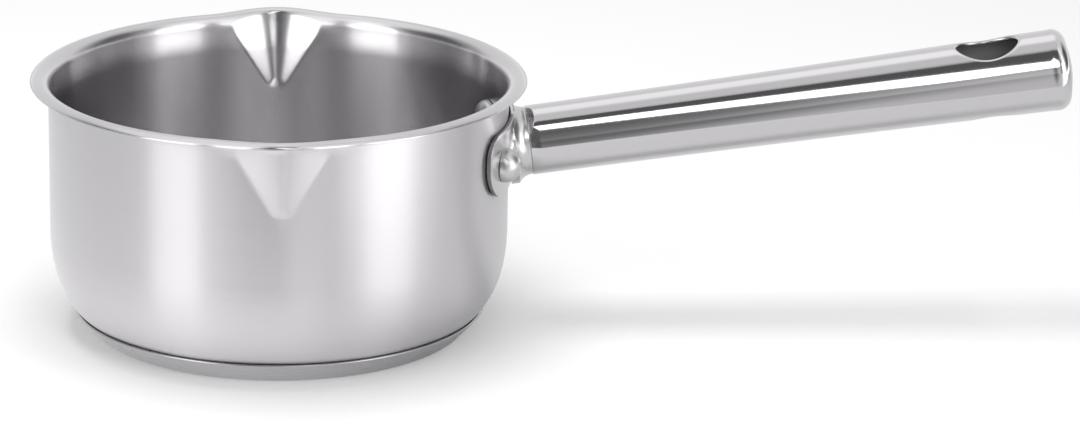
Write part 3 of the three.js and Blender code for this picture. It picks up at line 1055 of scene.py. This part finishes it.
# %% One rivet
def rivet_profile():
    """[radius, distance from the pan's axis] from the inner crown to the outer crown."""
    quarter = [step / rivet_head_steps * math.pi / 2 for step in range(rivet_head_steps + 1)]
    inner_seat = inner_radius - seat_gap
    outer_seat = bracket_outer_radius + seat_gap
    inner_rise = rivet_inner_head_height - wall_thickness
    profile = [(rivet_inner_head_radius * math.sin(a),
                inner_seat - wall_thickness - inner_rise * math.cos(a)) for a in quarter]
    profile += [(rivet_inner_head_radius, inner_seat), (rivet_shank_radius, inner_seat)]
    profile += [(rivet_shank_radius, outer_seat - seat_gap), (rivet_head_radius, outer_seat - seat_gap)]
    profile += [(rivet_head_radius * math.cos(a), outer_seat + rivet_head_height * math.sin(a))
                for a in quarter[:-1]]
    return profile + [(0, outer_seat + rivet_head_height)]


# %% The rule of the two rivets
def rivet_tree():
    """Places the rivet on both sides of the handle."""
    nodes, entry = named_tree("place the rivets", rivet_sizes)
    pair = nodes.add("GeometryNodeMeshLine")
    pair.inputs["Count"].default_value = 2
    pair.inputs["Offset"].default_value = (0, 0, 0)
    index = nodes.add("GeometryNodeInputIndex")
    side = nodes.sum("MULTIPLY_ADD", index.outputs[0], 2.0, -1.0)
    turn = nodes.add("ShaderNodeCombineXYZ")
    nodes.feed(turn.inputs[2], nodes.sum("MULTIPLY", side, entry.outputs["Azimuth"]))
    place = nodes.add("GeometryNodeInstanceOnPoints")
    nodes.feed(place.inputs["Points"], pair.outputs["Mesh"])
    nodes.feed(place.inputs["Instance"], entry.outputs["Geometry"])
    nodes.feed(place.inputs["Rotation"], turn.outputs[0])
    close_tree(nodes, entry, place.outputs["Instances"])
    return nodes


# %% Both rivets
rivet_steel = metal_finish("tumbled rivet steel", tumbled_steel, roughness=0.34)[0]
points, faces = spin(rivet_profile(), even_turns(rivet_facets))
rivet_frame = Matrix.Translation((0, 0, rivet_height)) @ lay_along_x
rivets = add_piece("rivets", [rivet_frame @ Vector(point) for point in points], faces)
face_outward(rivets)
run_tree(rivets, rivet_tree(), rivet_sizes, rivet_steel)
rivets.data.set_sharp_from_angle(angle=sharp_angle)
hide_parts("rivet_front", "rivet_back")
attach(rivets, "root")

# %% [markdown]
# ## Camera
#
# The camera stands as far off as for a product picture and looks down 17 degrees, a little from
# the left. It could be turned by hand until it fits, but angles and shifts with names are easier
# to correct: the sight line is worked out from the angles, and the eye is moved back along it.

# %% Camera
view_azimuth = math.radians(-4.0)
view_elevation = math.radians(17.35)
view_roll = math.radians(0.90)
eye_distance = 1700
eye_right = 93.2
eye_up = 38.6
focal_pixels = 4750
picture_width_pixels = 1080
sensor_width = 36

sight = Vector((
    -math.sin(view_azimuth) * math.cos(view_elevation),
    math.cos(view_azimuth) * math.cos(view_elevation),
    -math.sin(view_elevation),
))
level = Vector((math.cos(view_azimuth), math.sin(view_azimuth), 0))
upright = level.cross(sight)
right = math.cos(view_roll) * level + math.sin(view_roll) * upright
upward = -math.sin(view_roll) * level + math.cos(view_roll) * upright
eye = (-sight * eye_distance + right * eye_right + upward * eye_up) * MM

camera = bpy.data.objects.new("camera", bpy.data.cameras.new("camera"))
collection.objects.link(camera)
camera.matrix_world = Matrix.Translation(eye) @ Matrix((right, upward, -sight)).transposed().to_4x4()
camera.data.sensor_width = sensor_width
camera.data.lens = focal_pixels / picture_width_pixels * sensor_width
camera.data.clip_start = 0.05
camera.data.clip_end = 50
bpy.context.scene.camera = camera
print("the lens is", round(camera.data.lens, 1), "mm")

# %% [markdown]
# ## White table
#
# The pan stands on a plain white table. More light would turn it white too, but would burn out the
# steel. So the table adds a little glow of its own that only the camera sees, and the soft shadow
# stays. Shiny steel sees a soft pool of light across it instead, left of the pan's middle. The
# table ends close in front of the handle, and its edge slants away toward the left. Past that
# edge the camera sees the white room, and the steel sees the studio below the table's level.

# %% Table
table_outline = [(-3, -2.25), (0.27, -0.152), (3, -0.152), (3, 4), (-3, 4)]
table_colour = (0.85, 0.85, 0.85, 1)

table_mesh = bpy.data.meshes.new("table")
table_mesh.from_pydata([(x, y, 0) for x, y in table_outline], [], [tuple(range(len(table_outline)))])
table = bpy.data.objects.new("table", table_mesh)
collection.objects.link(table)
table_white = bpy.data.materials.new("white table")
table_white.use_nodes = True
shader = table_white.node_tree.nodes["Principled BSDF"]
shader.inputs["Base Color"].default_value = table_colour
shader.inputs["Roughness"].default_value = 0.9
shader.inputs["Specular IOR Level"].default_value = 0.0
shader.inputs["Emission Color"].default_value = (1, 1, 1, 1)

# %% Glow of the table
camera_glow = 0.17
pool_glow = (0.05, 0.36)
pool_rise = (-0.22, -0.04)
pool_fall = (0.08, -0.02)

nodes = Tree(table_white.node_tree)
rays = nodes.add("ShaderNodeLightPath").outputs
x, y, z = nodes.parts(nodes.add("ShaderNodeTexCoord").outputs["Object"])
pool = nodes.sum("MULTIPLY", nodes.remap(x, *pool_rise, *pool_glow), nodes.remap(x, *pool_fall))
pool = nodes.sum("MULTIPLY", pool, rays["Is Glossy Ray"])
nodes.feed(shader.inputs["Emission Strength"], blend(nodes, rays["Is Camera Ray"], pool, camera_glow))
table_mesh.materials.append(table_white)
print("made", table_white.name)

# %% [markdown]
# ## The room around
#
# Steel shows its surroundings, and a real studio isn't even: soft panels stand at both sides, the
# camera's side is dark, and the ceiling is dimmer than the walls. The room could be built from
# cards, but a soft wall of light is easier to write as the world's brightness by direction. The
# camera looks down, so the upright wall mirrors mostly what is low, the inside what stands at eye
# level, and the round top of the handle what is high. Each of these three bands has its own list
# of stops around the room, as azimuth in degrees from the camera's side and glow. Only
# reflections show the lists. What the camera sees directly is white.

# %% Glow around the room
foot_glow = [
    (-180, 1.0), (-130, 1.3), (-90, 1.6), (-60, 1.8), (-35, 1.0), (-14, 0.2), (0, 0.12), (3, 0.25),
    (5, 0.5), (7, 0.7), (24, 0.9), (35, 1.6), (60, 2.0), (95, 2.0), (130, 1.3), (180, 1.0),
]
eye_glow = [
    (-180, 0.9), (-140, 0.9), (-118, 0.4), (-105, 0.1), (-90, 0.1), (-76, 0.2), (-68, 0.7),
    (-58, 1.7), (-48, 2.0), (-38, 0.8), (-28, 0.3), (-14, 0.15), (-3, 0.15), (0, 0.25),
    (2, 0.45), (4, 0.75), (8, 0.8), (14, 0.6), (20, 0.35), (34, 0.4), (42, 1.2), (54, 2.0),
    (64, 1.4), (74, 0.55), (90, 0.15), (105, 0.1), (116, 0.4), (132, 0.9), (180, 0.9),
]
high_glow = [
    (-180, 1.3), (-140, 1.1), (-90, 1.1), (-62, 1.5), (-45, 0.9), (-28, 0.1), (12, 0.1),
    (24, 0.3), (38, 1.0), (52, 1.4), (70, 1.1), (100, 0.9), (140, 0.9), (180, 1.3),
]
ceiling_glow = 0.8
brightest = 2.0

# %% World
world = bpy.data.worlds.new("pale room")
world.use_nodes = True
world.cycles.sampling_method = "NONE"
bpy.context.scene.world = world
nodes = Tree(world.node_tree)
background = world.node_tree.nodes["Background"]
background.inputs["Color"].default_value = (1, 1, 1, 1)
x, y, z = nodes.parts(nodes.add("ShaderNodeTexCoord").outputs["Generated"])
turn = nodes.sum("ARCTAN2", x, nodes.sum("MULTIPLY", y, -1.0))
turn = nodes.sum("MULTIPLY_ADD", turn, 0.5 / math.pi, 0.5)


def glow_around(stops):
    """Brightness around the room, from stops of azimuth in degrees and glow."""
    ramp = nodes.add("ShaderNodeValToRGB")
    nodes.feed(ramp.inputs["Fac"], turn)
    ramp.color_ramp.interpolation = "EASE"
    marks = ramp.color_ramp.elements
    while len(marks) < len(stops):
        marks.new(0.5)
    for mark, (azimuth, glow) in zip(marks, stops):
        mark.position = azimuth / 360 + 0.5
        mark.color = (*[glow / brightest] * 3, 1)
    return nodes.sum("MULTIPLY", ramp.outputs["Color"], brightest)


# %% The three bands and the ceiling
foot_to_eye = (0.03, 0.17)
eye_to_high = (0.64, 0.8)
high_to_ceiling = (0.93, 0.99)
fill_glow = 0.5
white = 1.0

# The borders of the bands are heights on a ball around the pan, from 0 level to 1 overhead
room = blend(nodes, nodes.remap(z, *foot_to_eye), glow_around(foot_glow), glow_around(eye_glow))
room = blend(nodes, nodes.remap(z, *eye_to_high), room, glow_around(high_glow))
room = blend(nodes, nodes.remap(z, *high_to_ceiling), room, ceiling_glow)
rays = nodes.add("ShaderNodeLightPath").outputs
shiny = nodes.sum("MAXIMUM", rays["Is Glossy Ray"], rays["Is Transmission Ray"])
plain = blend(nodes, rays["Is Camera Ray"], fill_glow, white)
nodes.feed(background.inputs["Strength"], blend(nodes, shiny, plain, room))
print("the room has", len(foot_glow) + len(eye_glow) + len(high_glow), "stops")

# %% [markdown]
# ## Lamps
#
# A wide box overhead gives the soft shadow under the pan and its handle, and a panel stands at
# each side. Area lamps are used, because a sun or a point would leave sharp glints on steel. The
# box is hidden from reflections, where the ceiling of the room takes its place. A long strip
# leans over the front and gives the handle its light line and the far lip's valley its glint.


# %% Lamps
def soft_lamp(name, place, aim, width, height, glow):
    """An area lamp that faces a point, given by the glow of its surface."""
    data = bpy.data.lights.new(name, "AREA")
    data.shape = "RECTANGLE"
    data.size, data.size_y = width, height
    data.energy = glow * math.pi * width * height
    lamp = bpy.data.objects.new(name, data)
    collection.objects.link(lamp)
    lamp.location = place
    lamp.rotation_euler = (Vector(aim) - Vector(place)).to_track_quat("-Z", "Y").to_euler()
    lamp.visible_camera = False
    print("hung", name)
    return lamp


foot_of_pan = (0, 0, 0)
low_on_wall = (0, 0, 0.06)
strip_place = (0.1, -0.83, 0.965)
strip_lean = math.radians(60)

overhead = soft_lamp("overhead box", (-0.1, 0, 1.22), foot_of_pan, width=0.6, height=0.62, glow=6.2)
overhead.visible_glossy = False
soft_lamp("left panel", (-1.24, -0.98, 0.5), low_on_wall, width=0.75, height=0.9, glow=1.7)
soft_lamp("right panel", (1.28, -0.95, 0.5), low_on_wall, width=0.75, height=0.9, glow=1.5)
strip = soft_lamp("leaning strip", strip_place, foot_of_pan, width=1.1, height=0.25, glow=2.8)
# The strip stands upright and leans by its own angle, instead of facing the pan
strip.rotation_euler = (math.radians(90), strip_lean, 0)

# %% [markdown]
# ## A dark gap in the ceiling
#
# Polished steel needs something dark to mirror, or it looks like white plastic. A dark card beside
# the strip gives the light line on the handle a crisp edge. A real card would also shade the pan,
# so its material shows the card to shiny surfaces alone and is clear for every other ray.

# %% Ceiling gap
gap_corners = [(-0.2, -0.83, 1.83), (0.35, -0.83, 0.71), (0.35, -0.42, 1.1), (-0.2, -0.47, 2.05)]
gap_glow = 0.12

gap_mesh = bpy.data.meshes.new("ceiling gap")
gap_mesh.from_pydata(gap_corners, [], [(0, 1, 2, 3)])
gap = bpy.data.objects.new("ceiling gap", gap_mesh)
collection.objects.link(gap)
gap_dark = bpy.data.materials.new("ceiling gap")
gap_dark.use_nodes = True
gap_dark.cycles.emission_sampling = "NONE"
gap_dark.node_tree.nodes.remove(gap_dark.node_tree.nodes["Principled BSDF"])
nodes = Tree(gap_dark.node_tree)
glowing = nodes.add("ShaderNodeEmission")
glowing.inputs["Strength"].default_value = gap_glow
choice = nodes.add("ShaderNodeMixShader")
nodes.feed(choice.inputs[0], nodes.add("ShaderNodeLightPath").outputs["Is Glossy Ray"])
nodes.feed(choice.inputs[1], nodes.add("ShaderNodeBsdfTransparent").outputs[0])
nodes.feed(choice.inputs[2], glowing.outputs[0])
nodes.feed(gap_dark.node_tree.nodes["Material Output"].inputs["Surface"], choice.outputs[0])
gap_mesh.materials.append(gap_dark)
print("made", gap_dark.name)

# %% [markdown]
# ## Colour management
#
# A filmic view would soften the whites and change every colour. Standard shows each one as it is
# written.

# %% Colour management
bpy.context.scene.view_settings.view_transform = "Standard"
